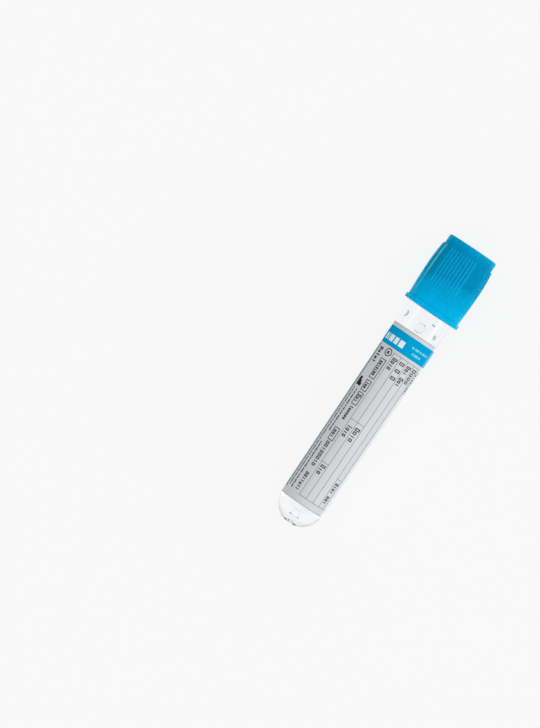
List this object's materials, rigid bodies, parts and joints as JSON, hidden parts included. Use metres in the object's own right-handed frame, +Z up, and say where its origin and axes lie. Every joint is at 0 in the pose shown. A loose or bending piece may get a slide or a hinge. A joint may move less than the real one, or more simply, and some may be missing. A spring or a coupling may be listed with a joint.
{
  "type": "blood collection tube",
  "caption": "Closed clear plastic tube with a round end, a wrap-around label, and a ribbed pull-off cap holding a rubber stopper, lying on its side.",
  "frame": {"origin": "on the surface it lies on, under the middle of its length and width", "axes": "+Z up; +X along the length towards the cap. The tube's own axis rises towards the cap by 1.863 degrees, because the cap's rim is wider than the round end"},
  "size_m": [0.0858, 0.0162, 0.0164],
  "materials": {
    "tube_clear": "clear glossy",
    "label_film": "matt printed film",
    "cap_blue": "translucent satin",
    "stopper_rubber": "matt",
    "additive_liquid": "clear liquid",
    "drops_liquid": "clear liquid"
  },
  "bodies": {
    "tube_body": {"tube": "tube_clear", "label": "label_film", "additive": "additive_liquid", "additive_drops": "drops_liquid"},
    "cap": {"cap_shield": "cap_blue", "stopper": "stopper_rubber"}
  },
  "joints": [
    {"name": "cap_pull", "type": "slide", "parent": "tube_body", "child": "cap", "axis": [0.9995, 0, 0.0325], "range_m": [0, 0.03]}
  ]
}
